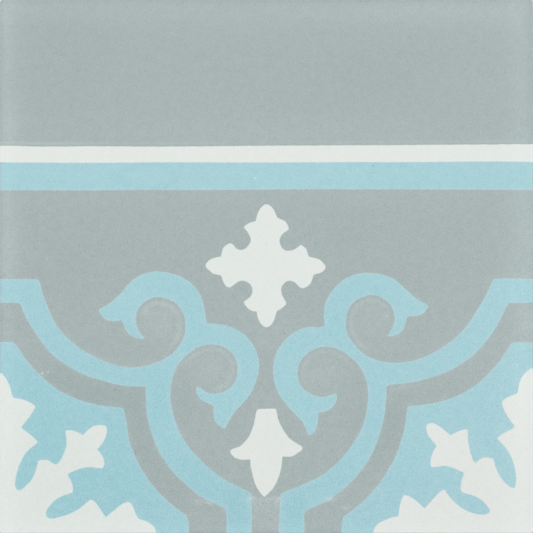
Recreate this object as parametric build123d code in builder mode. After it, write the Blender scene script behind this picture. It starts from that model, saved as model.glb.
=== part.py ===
"""Square hydraulic cement border tile, pressed in one piece, lying on its back with its patterned face up.

Millimetres. The origin is the middle of the back, +Z is up through the face, +X runs along the border
and +Y points at the plain outer band. The colours of the pattern were poured between the strips of a bent
metal divider and pressed with the body, so the pattern is a set of outlines flush in the one flat face.
"""
from math import acos, asin, cos, degrees, sin
from build123d import *
from build123d.topology import SkipClean
import os

# Driving dimensions of the pressed slab
tile_side = 200.0  # across the face
tile_thickness = 16.0
side_draft = 1.5  # degrees, so that the back is a little smaller than the face
corner_radius = 1.0  # upright corners of the mould frame
face_arris = 0.6  # eased edge round the face
back_arris = 1.0  # rounder edge round the back

# Driving dimensions of the pattern, drawn for a tile of one set side and scaled to the side of this one
drawing_side = 200.0
plain_band = 54.6  # grey band along the outer edge
white_stripe = 6.3
blue_stripe = 10.3
band_width = 8.8  # blue scrollwork
band_height = 9.2  # from the middle of the tile down to the middle of the scrollwork at the side edges
stem_width = 9.7  # scrollwork where it runs off the field edge
stem_offset = 9.8  # from the middle line out to the middle of that
arch_width = 8.6  # grey arch between the scrollwork and the corner grounds
ground_height = 28.2  # from the middle of the tile down to the corner grounds
ground_offset = 28.8  # from the middle line out to the corner grounds
outer_foot = (47.5, -40.5)  # lowest point of the outer scroll's middle line
sweep_radius = 43.5  # outer scroll, out to the side edge
curl_radius = 21.2  # outer scroll, up to its eye
outer_eye_radius = 12.9
inner_foot = (41.1, -45.9)  # outermost point of the inner scroll's middle line
heart_radius = 44.8  # inner scroll, down to the field edge
shoulder_radius = 20.5  # inner scroll, over to its eye
inner_eye_radius = 13.6
eye_turn = 160  # degrees that each scroll turns round its eye

# Points of the drawn forms, from one end of an arc by a point on it to its other end, and so on
outer_leaves = ((9.9, 13.3), (16.2, 8.2), (22.8, 3.8), (19.6, 0.1), (14.3, -0.2), (12.0, -5.4), (6.4, -7.2),
                (8.7, -2.7))  # from the middle of the outer eye, outer edge of the scroll to the inner one
inner_leaves = ((-16.8, -6.2), (-11.8, -13.2), (-4.7, -23.1), (-1.4, -19.8), (-1.0, -14.6), (3.8, -12.4),
                (5.6, -7.4), (2.0, -8.9))  # the same round the inner eye
petals = ((0.0, 60.4), (-4.0, 56.4), (-5.7, 51.4), (-9.4, 50.1), (-12.7, 48.3), (-10.8, 44.6), (-7.6, 40.0),
          (-11.3, 37.2), (-14.3, 34.2), (-8.0, 25.0), (-6.8, 17.0), (-11.7, 20.0), (-14.8, 27.3),
          (-18.0, 27.8), (-21.8, 26.0), (-24.3, 31.7), (-24.3, 38.5), (-28.5, 38.3), (-31.6, 36.5),
          (-35.2, 39.7), (-40.0, 40.0))  # half of the corner flower, from the corner
cross_arm_side = ((0.0, 22.9), (2.8, 20.8), (3.8, 17.1), (6.7, 15.8), (8.4, 13.7), (5.5, 9.8), (6.5, 6.5))
tulip_side = ((3.7, -53.4), (6.4, -62.3), (13.7, -68.4), (10.6, -71.6), (6.1, -71.8), (4.6, -79.8),
              (0.0, -86.2))

pattern_scale = tile_side / drawing_side
half_side = drawing_side / 2
corner = Vector(half_side, -half_side)
half_band = band_width / 2
sweep_middle = Vector(outer_foot) + Vector(0, sweep_radius)
curl_middle = Vector(outer_foot) + Vector(0, curl_radius)
heart_middle = Vector(inner_foot) - Vector(heart_radius, 0)
shoulder_middle = Vector(inner_foot) - Vector(shoulder_radius, 0)


def arcs(points):
    """Arcs end to end, each of them through every second point."""
    with BuildLine() as row:
        for start, through, end in zip(points[0::2], points[1::2], points[2::2]):
            ThreePointArc(start, through, end)
    return row.line


def leaves(eye, points):
    """Two leaves that end a scroll, round to the end of the scroll's inner edge and closed by a line."""
    middle = eye.arc_center
    inner_end = middle + (eye @ 1 - middle).normalized() * (eye.radius - half_band)
    stops = [middle + Vector(point) for point in points] + [inner_end]
    with BuildSketch() as pair:
        with BuildLine():
            add(arcs(stops))
            Line(inner_end, stops[0])
        make_face()
    return pair.sketch


# Outer scroll of the right half: in from the side edge, round a wide sweep and up to its eye
band_top = half_band - band_height
sweep_inside = sweep_radius - half_band
sweep_rise = asin((band_top - sweep_middle.Y) / sweep_inside)
with BuildSketch() as outer_scroll:
    with BuildLine():
        JernArc(outer_foot, (1, 0), sweep_radius, 90 + degrees(sweep_rise))
        curl = JernArc(outer_foot, (-1, 0), curl_radius, -90)
        outer_eye = JernArc(curl @ 1, curl % 1, outer_eye_radius, -eye_turn)
    trace(line_width=band_width)
    with Locations((sweep_middle.X + sweep_inside * cos(sweep_rise), band_top)):
        Rectangle(half_side, band_width, align=(Align.MIN, Align.MAX))
    add(leaves(outer_eye, outer_leaves))
    with Locations(shoulder_middle):
        Circle(shoulder_radius - half_band, mode=Mode.SUBTRACT)

# Inner scroll of the right half: up from the field edge, round the heart and down to its eye
stem_side = stem_offset - stem_width / 2
heart_inside = heart_radius - half_band
heart_drop = acos((stem_side - heart_middle.X) / heart_inside)
with BuildSketch() as inner_scroll:
    with BuildLine():
        JernArc(inner_foot, (0, -1), heart_radius, -degrees(heart_drop))
        shoulder = JernArc(inner_foot, (0, 1), shoulder_radius, 90)
        inner_eye = JernArc(shoulder @ 1, shoulder % 1, inner_eye_radius, eye_turn)
    trace(line_width=band_width)
    with Locations((stem_side, heart_middle.Y - heart_inside * sin(heart_drop))):
        Rectangle(stem_width, half_side, align=(Align.MIN, Align.MAX))
    add(leaves(inner_eye, inner_leaves))
    with Locations(curl_middle):
        Circle(curl_radius - half_band, mode=Mode.SUBTRACT)

# Corner ground of the right half, kept clear of both scrolls by the grey arch
with BuildSketch() as ground:
    with Locations(corner):
        Rectangle(half_side - ground_offset, half_side - ground_height, align=(Align.MAX, Align.MIN))
    with Locations(sweep_middle):
        Circle(sweep_radius + half_band + arch_width, mode=Mode.SUBTRACT)
    with Locations(heart_middle):
        Circle(heart_radius + half_band + arch_width, mode=Mode.SUBTRACT)

# Corner flower of the right half, alike on both sides of the tile's diagonal
petal_stops = [corner + Vector(point) for point in petals]
with BuildSketch() as flower:
    with BuildLine():
        Line(corner, petal_stops[0])
        add(arcs(petal_stops))
        mirror(about=Plane(corner, x_dir=(1, -1, 0), z_dir=(1, 1, 0)))
    make_face()

# One of the four arms of the cross
with BuildSketch() as cross_arm:
    with BuildLine():
        add(arcs(cross_arm_side))
        Line(cross_arm_side[-1], (0, 0))
        mirror(about=Plane.YZ)
    make_face()

# Tulip between the two inner scrolls
with BuildSketch() as tulip:
    with BuildLine():
        Line((0, tulip_side[0][1]), tulip_side[0])
        add(arcs(tulip_side))
        mirror(about=Plane.YZ)
    make_face()

# All the blue of the face
with BuildSketch() as blue:
    with Locations((0, half_side - plain_band - white_stripe)):
        Rectangle(drawing_side, blue_stripe, align=(Align.CENTER, Align.MAX))
    add(outer_scroll.sketch)
    add(inner_scroll.sketch)
    add(ground.sketch)
    mirror(about=Plane.YZ)
    scale(by=pattern_scale)

# All the white of the face
with BuildSketch() as white:
    with Locations((0, half_side - plain_band)):
        Rectangle(drawing_side, white_stripe, align=(Align.CENTER, Align.MAX))
    with PolarLocations(0, 4):
        add(cross_arm.sketch)
    add(tulip.sketch)
    add(flower.sketch)
    mirror(about=Plane.YZ)
    scale(by=pattern_scale)

# Pressed slab, drawn at the face and tapered down to the back. The colours are part of its body, so each one
# adds no more than its outlines in the flat of the face
with BuildPart() as tile:
    with BuildSketch(Plane.XY.offset(tile_thickness)):
        RectangleRounded(tile_side, tile_side, corner_radius)
    extrude(amount=-tile_thickness)
    draft(tile.faces().filter_by(Axis.Z, reverse=True), Plane.XY.offset(tile_thickness), -side_draft)
    fillet(tile.faces().sort_by(Axis.Z)[-1].edges(), face_arris)
    fillet(tile.faces().sort_by(Axis.Z)[0].edges(), back_arris)
    flat_of_face = tile.faces().sort_by(Axis.Z)[-1]
    for colour in (blue, white):
        with BuildSketch(Plane.XY.offset(tile_thickness)):
            add(colour.sketch)
            add(flat_of_face, mode=Mode.INTERSECT)
        with SkipClean():
            extrude(amount=-tile_thickness / 2, clean=False)

tile.part.label = "border_tile"
os.makedirs("parts", exist_ok=True)
export_step(tile.part, "parts/border_tile.step")
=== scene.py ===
from math import cos, pi, radians, tan
import bpy
import numpy as np
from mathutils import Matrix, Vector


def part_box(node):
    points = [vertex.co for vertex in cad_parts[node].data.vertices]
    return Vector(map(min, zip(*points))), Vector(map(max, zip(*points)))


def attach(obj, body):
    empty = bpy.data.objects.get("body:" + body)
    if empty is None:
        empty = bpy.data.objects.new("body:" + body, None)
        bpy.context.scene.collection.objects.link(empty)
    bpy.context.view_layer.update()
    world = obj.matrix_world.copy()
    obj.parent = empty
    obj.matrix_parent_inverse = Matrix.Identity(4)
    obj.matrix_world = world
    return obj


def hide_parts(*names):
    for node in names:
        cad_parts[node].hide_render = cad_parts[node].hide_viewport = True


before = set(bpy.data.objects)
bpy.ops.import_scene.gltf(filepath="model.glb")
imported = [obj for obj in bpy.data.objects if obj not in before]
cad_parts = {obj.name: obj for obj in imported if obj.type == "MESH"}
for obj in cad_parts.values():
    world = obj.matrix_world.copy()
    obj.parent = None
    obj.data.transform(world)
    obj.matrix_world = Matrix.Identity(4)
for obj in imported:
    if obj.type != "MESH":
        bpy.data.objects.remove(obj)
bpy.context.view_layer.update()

# One pressed cement border tile, lying face up. The settings are in millimetres, the scene is in metres.
mm = 0.001
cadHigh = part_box("border_tile")[1]
halfWidth = cadHigh.x / mm
thickness = cadHigh.z / mm
print("frame loaded, tile", round(2 * halfWidth, 2), "by", round(thickness, 2), "mm")


# Outlines of the poured colours, from the middle of the face. A closed outline is a row of stretches: each
# runs smoothly on from the corner before it, and its last point is the next corner.
past = 104.0  # outlines that leave the tile end out here
stripeTop = [(-past, 45.3), (-95.0, 45.4), (-86.0, 45.15), (-66.0, 45.25), (-48.0, 45.15), (-20.0, 45.25),
             (0.0, 45.45), (40.0, 45.65), (70.0, 45.85), (past, 46.05)]
stripeMiddle = [(-past, 39.2), (-85.0, 38.95), (-60.0, 38.9), (-42.0, 39.05), (0.0, 39.0), (36.0, 39.15),
                (56.0, 39.15), (84.0, 39.4), (past, 39.0)]
stripeBottom = [(-past, 28.7), (-56.0, 28.65), (-44.0, 28.8), (-30.0, 28.7), (10.0, 28.95), (66.0, 28.9),
                (past, 28.65)]
leftBand = [
    [(-86.2, -4.65)],
    [(-85.2, -5.4), (-84.6, -7.6), (-83.5, -11.2), (-82.0, -15.2), (-79.8, -20.2), (-76.4, -24.9),
     (-72.1, -28.9), (-67.3, -32.3), (-62.2, -34.8), (-57.0, -36.8), (-52.0, -37.7), (-47.4, -37.5),
     (-42.3, -36.3), (-38.0, -34.4), (-35.1, -32.4), (-32.6, -29.2), (-30.9, -26.0), (-30.5, -21.8),
     (-31.1, -18.1), (-33.3, -14.6), (-36.7, -12.4), (-41.0, -11.5), (-44.4, -12.4), (-47.1, -14.6),
     (-48.8, -17.7), (-48.9, -21.0), (-47.9, -24.0), (-45.3, -26.8)],
    [(-48.2, -27.0), (-50.7, -26.0), (-52.7, -24.0), (-53.7, -21.8), (-54.3, -20.2)],
    [(-56.6, -20.5), (-59.2, -20.3), (-61.3, -19.2), (-62.5, -17.6), (-63.0, -16.4)],
    [(-61.9, -15.5), (-59.6, -14.2), (-57.0, -12.2), (-53.9, -8.9), (-50.6, -5.2), (-46.5, -2.8),
     (-41.5, -1.75), (-36.0, -2.4), (-31.5, -4.0), (-27.6, -6.8), (-25.0, -10.2), (-23.5, -14.2),
     (-22.85, -18.3), (-22.4, -21.2)],
    [(-18.9, -21.4), (-14.8, -22.1), (-10.6, -23.85), (-7.2, -26.5), (-4.5, -30.1), (-3.0, -34.4),
     (-2.75, -38.3), (-3.7, -42.5), (-5.4, -46.8), (-8.2, -50.6), (-11.2, -53.8), (-13.4, -56.8),
     (-14.8, -59.4), (-15.9, -61.1)],
    [(-17.8, -59.7), (-19.2, -58.2), (-19.95, -55.4), (-19.75, -52.45)],
    [(-22.2, -51.2), (-24.5, -50.0), (-26.1, -47.7), (-26.4, -45.9), (-25.9, -45.0)],
    [(-24.8, -45.3), (-23.2, -46.7), (-20.8, -47.55), (-18.2, -47.5), (-15.0, -46.3), (-12.5, -44.0),
     (-11.1, -40.3), (-11.1, -36.2), (-12.8, -32.8), (-16.0, -30.2), (-20.2, -29.3), (-24.7, -29.9),
     (-28.8, -32.4), (-32.2, -35.6), (-34.6, -39.8), (-35.8, -45.3), (-35.9, -50.3), (-34.9, -55.5),
     (-33.2, -60.5), (-30.6, -65.5), (-26.8, -70.3), (-22.4, -74.7), (-17.3, -78.8), (-12.2, -81.7),
     (-7.4, -84.05), (-5.6, -85.1)],
    [(-5.4, -91.7), (-5.6, -past)],
    [(-15.1, -past)], [(-15.1, -91.5)],
    [(-17.9, -89.7), (-21.8, -87.9), (-26.0, -85.5), (-30.1, -82.0), (-33.9, -78.5), (-37.2, -74.4),
     (-40.4, -69.5), (-42.9, -63.4), (-44.55, -57.6), (-45.25, -52.0), (-45.35, -45.1)],
    [(-50.0, -44.95), (-55.2, -44.5), (-60.4, -43.2), (-66.0, -41.5), (-71.2, -39.3), (-76.3, -36.2),
     (-81.0, -32.5), (-84.9, -27.7), (-88.0, -23.0), (-90.5, -18.7), (-91.9, -15.3), (-92.5, -14.1)],
    [(-93.4, -13.6)], [(-past, -13.6)], [(-past, -4.6)],
]
rightBand = [
    [(past, -4.5)], [(past, -13.7)], [(91.0, -13.7)],
    [(90.4, -14.6), (88.6, -18.3), (86.3, -22.6), (82.9, -27.5), (79.2, -31.7), (74.4, -35.7),
     (69.2, -38.8), (63.7, -41.1), (57.4, -42.9), (51.6, -43.9), (46.2, -44.35)],
    [(45.1, -45.2)],
    [(44.95, -49.6), (44.35, -55.6), (43.1, -61.15), (41.0, -67.3), (38.2, -72.8), (34.7, -77.7),
     (29.9, -82.7), (24.8, -86.6), (19.9, -89.4), (15.6, -91.3), (14.2, -92.4)],
    [(14.2, -95.0), (14.4, -past)],
    [(4.2, -past)],
    [(4.8, -93.0), (5.2, -85.5)],
    [(5.8, -84.9), (10.6, -83.0), (16.3, -80.5), (22.2, -77.2), (28.2, -71.8), (32.6, -66.2), (35.6, -60.7),
     (37.4, -54.8), (38.1, -49.4), (37.8, -44.6), (36.0, -39.3), (33.0, -35.4), (29.2, -32.3),
     (25.2, -30.5), (21.3, -30.1), (16.7, -31.7), (13.4, -34.6), (11.9, -38.0), (12.0, -42.2),
     (13.7, -45.5), (16.7, -47.7), (20.3, -48.75), (23.5, -48.3), (26.1, -47.5)],
    [(26.45, -49.1), (25.7, -51.4), (23.9, -53.5), (21.5, -54.55), (19.4, -54.8)],
    [(19.4, -57.3), (18.9, -60.1), (17.6, -62.6), (15.9, -63.45)],
    [(15.0, -61.9), (13.8, -58.95), (11.3, -56.0), (7.6, -52.1), (4.9, -48.3), (3.1, -44.0), (2.4, -39.4),
     (2.8, -35.2), (4.3, -30.9), (7.0, -27.4), (10.6, -24.5), (14.8, -22.8), (18.4, -22.6), (20.4, -22.55),
     (21.8, -22.0)],
    [(21.5, -20.3), (21.5, -17.3), (22.1, -13.8), (24.0, -9.8), (26.9, -6.5), (30.5, -3.9), (34.6, -2.6),
     (39.0, -2.3), (43.8, -3.0), (47.9, -4.7), (51.3, -7.5), (54.8, -10.7), (57.6, -12.8), (60.4, -14.1)],
    [(60.9, -14.7)],
    [(60.5, -15.8), (59.0, -17.4), (56.4, -18.5), (52.8, -18.6)],
    [(52.2, -21.2), (51.0, -24.0), (48.8, -25.8), (45.2, -26.1)],
    [(46.6, -23.9), (47.8, -21.0), (48.0, -18.5), (46.9, -15.2), (44.0, -12.2), (39.7, -10.7),
     (35.6, -11.7), (32.2, -14.0), (30.4, -17.5), (29.8, -21.5), (30.5, -25.3), (33.0, -29.1),
     (37.2, -33.1), (42.3, -35.3), (47.9, -36.0), (53.2, -35.6), (59.0, -34.0), (64.5, -31.2),
     (69.2, -28.0), (73.9, -23.6), (77.4, -18.8), (80.4, -13.9), (82.7, -9.9), (84.3, -6.2), (85.2, -4.4)],
]
leftGround = [
    [(-95.2, -28.2)],
    [(-93.9, -29.3), (-91.6, -32.8), (-88.0, -37.4), (-83.4, -42.0), (-77.9, -46.3), (-71.6, -49.4),
     (-65.1, -51.45), (-59.3, -52.4), (-54.4, -52.8)],
    [(-53.4, -53.6)],
    [(-52.5, -58.6), (-51.35, -65.35), (-48.3, -73.2), (-44.6, -79.4), (-40.1, -84.9), (-35.0, -89.6),
     (-29.9, -93.2)],
    [(-29.2, -96.0), (-29.4, -past)],
    [(-past, -past)], [(-past, -28.0)],
]
rightGround = [
    [(past, -28.35)], [(past, -past)], [(28.2, -past)],
    [(28.3, -95.6), (28.9, -93.6)],
    [(33.5, -90.4), (38.8, -85.5), (43.2, -80.1), (47.2, -73.6), (50.0, -66.8), (51.9, -59.7),
     (52.8, -52.4)],
    [(56.4, -52.0), (62.8, -51.1), (69.2, -49.3), (75.2, -46.6), (80.8, -42.4), (85.6, -37.6),
     (89.1, -33.0), (91.5, -29.2)],
    [(92.4, -28.35)],
]
cross = [
    [(-3.6, 19.3), (-2.5, 21.6), (-1.0, 23.2), (0.2, 23.5), (1.5, 22.9), (2.7, 21.6), (3.4, 20.1),
     (4.2, 18.4)],
    [(6.0, 17.6), (7.4, 16.7), (8.1, 15.4), (8.5, 13.9)],
    [(7.0, 12.9), (5.8, 11.9), (5.05, 10.2), (5.3, 8.2), (6.4, 6.55), (8.2, 5.95), (10.2, 6.5), (11.7, 7.3),
     (12.65, 8.4)],
    [(13.9, 7.7), (15.0, 6.6), (15.5, 5.2), (16.0, 3.75)],
    [(17.9, 3.4), (19.7, 2.8), (21.3, 1.55), (22.3, -0.2), (21.3, -1.8), (19.8, -2.55), (17.9, -2.95)],
    [(17.5, -3.9), (17.2, -5.1), (16.4, -6.6), (15.05, -7.7), (13.5, -8.2)],
    [(12.3, -7.7), (11.1, -6.4), (9.5, -5.5), (7.6, -5.65), (6.3, -6.8), (5.6, -8.6), (5.9, -10.5),
     (6.6, -12.0), (7.6, -13.3)],
    [(7.3, -14.2), (6.5, -15.1), (5.3, -16.0), (4.0, -16.65)],
    [(3.5, -18.1), (3.0, -20.0), (1.9, -21.7), (0.1, -22.85), (-1.65, -22.0), (-2.95, -20.2), (-3.5, -18.6),
     (-3.8, -16.8)],
    [(-5.1, -16.8), (-6.6, -16.1), (-7.85, -14.8), (-8.7, -13.2)],
    [(-7.1, -12.05), (-5.8, -10.7), (-5.35, -8.8), (-6.1, -6.8), (-7.7, -5.6), (-9.5, -5.35), (-11.2, -6.1),
     (-12.6, -7.2), (-13.8, -7.95)],
    [(-15.1, -7.5), (-16.2, -6.0), (-16.7, -4.5), (-17.3, -3.3)],
    [(-18.6, -3.1), (-19.9, -2.75), (-21.3, -1.7), (-23.0, 0.35), (-21.6, 2.4), (-19.9, 3.35),
     (-18.6, 3.65), (-17.15, 3.75)],
    [(-16.9, 4.9), (-16.5, 6.55), (-15.3, 8.1), (-13.5, 8.9)],
    [(-12.3, 8.1), (-11.2, 6.9), (-9.8, 6.35), (-8.2, 6.75), (-6.85, 8.0), (-6.0, 9.8), (-6.3, 11.4),
     (-7.3, 13.1), (-8.8, 14.8)],
    [(-7.7, 15.7), (-6.7, 16.4), (-5.6, 16.75), (-4.0, 17.1)],
]
tulip = [
    [(3.4, -53.2)],
    [(3.95, -54.9), (4.6, -57.7), (6.0, -60.5), (7.7, -63.25), (9.8, -65.25), (12.0, -66.55), (13.2, -67.3),
     (13.75, -68.0)],
    [(13.2, -69.0), (11.9, -69.9), (10.4, -70.9), (8.8, -71.4), (6.0, -71.2)],
    [(5.85, -73.6), (5.3, -76.8), (4.2, -80.1), (2.8, -82.8), (0.9, -85.0), (-0.8, -86.5)],
    [(-2.6, -84.6), (-4.1, -82.0), (-5.15, -78.8), (-5.85, -75.8), (-6.2, -72.3)],
    [(-8.4, -72.6), (-10.6, -72.3), (-12.2, -71.5), (-13.3, -70.2), (-13.9, -69.2)],
    [(-13.2, -68.6), (-11.9, -68.0), (-9.9, -67.3), (-8.15, -65.6), (-6.45, -63.3), (-5.15, -60.15),
     (-4.4, -57.2), (-3.9, -54.4), (-3.1, -53.3)],
]
leftFlower = [
    [(-98.7, -40.6), (-96.7, -43.8), (-95.7, -46.8), (-94.9, -49.2)],
    [(-92.3, -49.6), (-89.5, -50.5), (-87.4, -51.7), (-86.7, -52.4)],
    [(-87.3, -53.95), (-88.75, -56.2), (-92.1, -60.4)],
    [(-88.8, -62.8), (-86.9, -64.4), (-85.6, -66.0)],
    [(-88.0, -67.8), (-90.2, -70.0), (-92.4, -73.8), (-93.8, -78.4), (-94.25, -82.0), (-93.1, -83.9),
     (-90.6, -82.5), (-88.2, -79.9), (-86.7, -76.6), (-85.8, -72.8)],
    [(-83.9, -72.35), (-81.6, -72.7), (-80.2, -73.7), (-78.7, -74.1)],
    [(-77.4, -72.6), (-75.8, -69.3), (-75.1, -65.6), (-75.9, -61.5)],
    [(-73.8, -61.3), (-71.7, -61.7), (-68.8, -63.2)],
    [(-67.3, -61.6), (-64.9, -59.8), (-62.2, -59.35), (-60.4, -59.7)],
    [(-59.8, -61.0), (-60.3, -63.9), (-61.5, -66.3), (-63.6, -68.6)],
    [(-61.7, -70.7), (-60.8, -73.2), (-61.3, -75.9)],
    [(-64.0, -75.5), (-67.2, -75.35), (-71.0, -76.3), (-74.7, -78.1)],
    [(-73.2, -80.6), (-72.6, -82.8), (-72.8, -84.9)],
    [(-75.8, -85.8), (-79.1, -87.55), (-81.95, -90.7), (-82.7, -93.2), (-81.2, -94.4), (-77.7, -93.9),
     (-72.8, -92.2), (-69.2, -89.9), (-66.0, -87.2)],
    [(-64.0, -88.6), (-62.0, -91.5), (-60.2, -93.9)],
    [(-57.3, -91.4), (-54.4, -89.1), (-52.0, -88.2)],
    [(-50.4, -89.3), (-49.0, -92.6), (-47.9, -94.5)],
    [(-45.2, -95.5), (-42.7, -97.0), (-41.5, -98.7), (-41.6, -past)],
    [(-past, -past)], [(-past, -39.3)], [(-100.0, -39.4)],
]
rightFlower = [
    [(99.6, -38.0)],
    [(97.1, -39.8), (95.2, -42.4), (94.6, -44.9), (94.0, -47.7)],
    [(91.6, -48.4), (89.6, -49.5), (88.6, -50.4)],
    [(88.4, -51.8), (89.8, -55.2), (93.1, -59.7)],
    [(92.4, -60.7), (90.0, -61.9), (87.9, -63.1), (86.1, -64.4)],
    [(88.5, -66.7), (90.8, -69.7), (92.4, -73.0), (93.4, -77.0), (93.6, -80.3), (93.0, -83.1)],
    [(91.0, -82.3), (88.6, -79.9), (86.6, -76.6), (85.3, -72.1)],
    [(83.6, -71.6), (81.8, -71.5), (80.0, -72.3), (78.4, -73.6)],
    [(77.4, -72.2), (76.3, -68.4), (75.65, -64.4), (75.8, -61.0)],
    [(73.6, -61.1), (71.6, -61.9), (69.1, -63.3)],
    [(67.3, -61.7), (64.8, -59.8), (62.3, -58.65), (60.3, -59.1)],
    [(59.95, -60.7), (60.5, -63.2), (62.2, -65.4), (63.85, -67.3)],
    [(62.4, -69.5), (61.5, -72.6), (61.8, -75.2)],
    [(64.2, -75.2), (66.6, -74.8), (70.3, -75.7), (74.1, -77.6)],
    [(73.2, -80.1), (72.8, -82.8), (73.3, -84.8)],
    [(76.3, -85.6), (79.6, -87.0), (82.3, -89.3), (83.8, -91.7)],
    [(82.6, -92.85), (79.8, -92.95), (76.0, -91.9), (71.8, -89.4), (69.0, -86.6), (66.7, -83.3)],
    [(64.4, -85.1), (61.6, -88.1), (59.4, -90.75)],
    [(56.8, -88.3), (54.3, -86.4), (51.7, -85.6)],
    [(50.7, -87.1), (50.0, -89.6), (49.5, -93.7)],
    [(46.4, -94.3), (43.0, -95.7), (40.7, -97.8), (39.5, -past)],
    [(past, -past)], [(past, -37.0)],
]


# Runs a closed stripe along an upper edge and back along a lower one.
def stripeBetween(upper, lower):
    return [upper[1:], [lower[-1]], lower[-2::-1], [upper[0]]]


underWhite = 2.0  # the blue stripe runs on under the white one
traceFloor = stripeTop[0][1] - underWhite  # the white stripe's pale trace is laid above this
blueStripe = stripeBetween([(x, y + underWhite) for x, y in stripeMiddle], stripeBottom)
blueOutlines = [leftBand, rightBand, leftGround, rightGround, blueStripe]
whiteOutlines = [cross, tulip, leftFlower, rightFlower, stripeBetween(stripeTop, stripeMiddle)]


# Smooth run through points: a cubic in each span of the square root of chord length, with the bend and its
# change carried over at every point, and each end span bending like its neighbour. Two points make a line.
def smoothRun(points, perSpan=5):
    p = np.array(points, float)
    if len(p) == 2:
        return p[0] + (p[1] - p[0]) * np.linspace(0, 1, perSpan + 1)[:, None]
    step = np.sqrt(np.hypot(*np.diff(p, axis=0).T))
    knot = np.concatenate([[0], np.cumsum(step)])
    count = len(p)
    inner = np.arange(1, count - 1)
    system = np.zeros((count, count))
    system[0, :2] = 1, -1
    system[-1, -2:] = -1, 1
    system[inner, inner - 1] = step[:-1]
    system[inner, inner] = 2 * (step[:-1] + step[1:])
    system[inner, inner + 1] = step[1:]
    change = np.zeros((count, 2))
    change[1:-1] = 6 * np.diff(np.diff(p, axis=0) / step[:, None], axis=0)
    bend = np.linalg.solve(system, change)
    along = np.linspace(0, knot[-1], perSpan * (count - 1) + 1)
    span = np.clip(np.searchsorted(knot, along, side="right") - 1, 0, count - 2)
    left = (knot[span + 1] - along)[:, None]
    right = (along - knot[span])[:, None]
    width = step[span][:, None]
    return ((bend[span] * left ** 3 + bend[span + 1] * right ** 3) / (6 * width)
            + (p[span] / width - bend[span] * width / 6) * left
            + (p[span + 1] / width - bend[span + 1] * width / 6) * right)


# Closed ring: the smooth runs of an outline's stretches, end to end.
def closedRing(outline):
    starts = [outline[-1][-1]] + [stretch[-1] for stretch in outline[:-1]]
    runs = [smoothRun([start] + list(stretch))[:-1] for start, stretch in zip(starts, outline)]
    return np.concatenate(runs)


# Distance from a ring, positive inside it. Every side of the ring is tried on all the points, the nearest
# is kept, and a point is inside when a level line to its right meets an odd number of sides.
def ringDistance(x, y, ring, reach):
    near = np.full(x.shape, reach ** 2)
    inside = np.zeros(x.shape, bool)
    low = ring.min(0) - reach
    high = ring.max(0) + reach
    close = (x > low[0]) & (x < high[0]) & (y > low[1]) & (y < high[1])
    px = x[close]
    py = y[close]
    best = near[close]
    within = inside[close]
    for (ax, ay), (bx, by) in zip(ring, np.roll(ring, -1, axis=0)):
        dx = bx - ax
        dy = by - ay
        share = np.clip(((px - ax) * dx + (py - ay) * dy) / (dx * dx + dy * dy), 0, 1)
        best = np.minimum(best, (px - ax - share * dx) ** 2 + (py - ay - share * dy) ** 2)
        if dy:
            within ^= ((ay > py) != (by > py)) & (px < ax + (py - ay) * dx / dy)
    near[close] = best
    inside[close] = within
    return np.where(inside, 1.0, -1.0) * np.sqrt(near)


drawingDrop = 0.05  # the whole drawing sits so much lower than its points


# Distance from all outlines of one colour together: the largest of their own.
def colourDistance(x, y, outlines, reach=14.0):
    rings = [closedRing(outline) for outline in outlines]
    return np.max([ringDistance(x, y + drawingDrop, ring, reach) for ring in rings], axis=0)


# Bell of two half-widths, 1 in its middle.
def bell(x, y, middleX, middleY, halfX, halfY):
    return np.exp(-((x - middleX) / halfX) ** 2 - ((y - middleY) / halfY) ** 2)


# Haze by the distance t from an edge, in crests: the square of t exp(1 - t), which is 1 at the crest.
def hazeBand(distance, crest):
    share = np.maximum(distance, 0) / crest
    return (share * np.exp(1 - share)) ** 2


# Ripples: seeded sine waves of about one length, added up over the square root of their number.
def ripples(x, y, length, seed, waves=9, stretch=(0.7, 1.5)):
    draw = np.random.default_rng(seed)
    heading = draw.uniform(0, 2 * pi, waves)
    start = draw.uniform(0, 2 * pi, waves)
    rate = 2 * pi / (length * draw.uniform(*stretch, waves))
    phase = np.multiply.outer(x, np.cos(heading) * rate) + np.multiply.outer(y, np.sin(heading) * rate)
    return np.sin(phase + start).sum(-1) / np.sqrt(waves)


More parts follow.
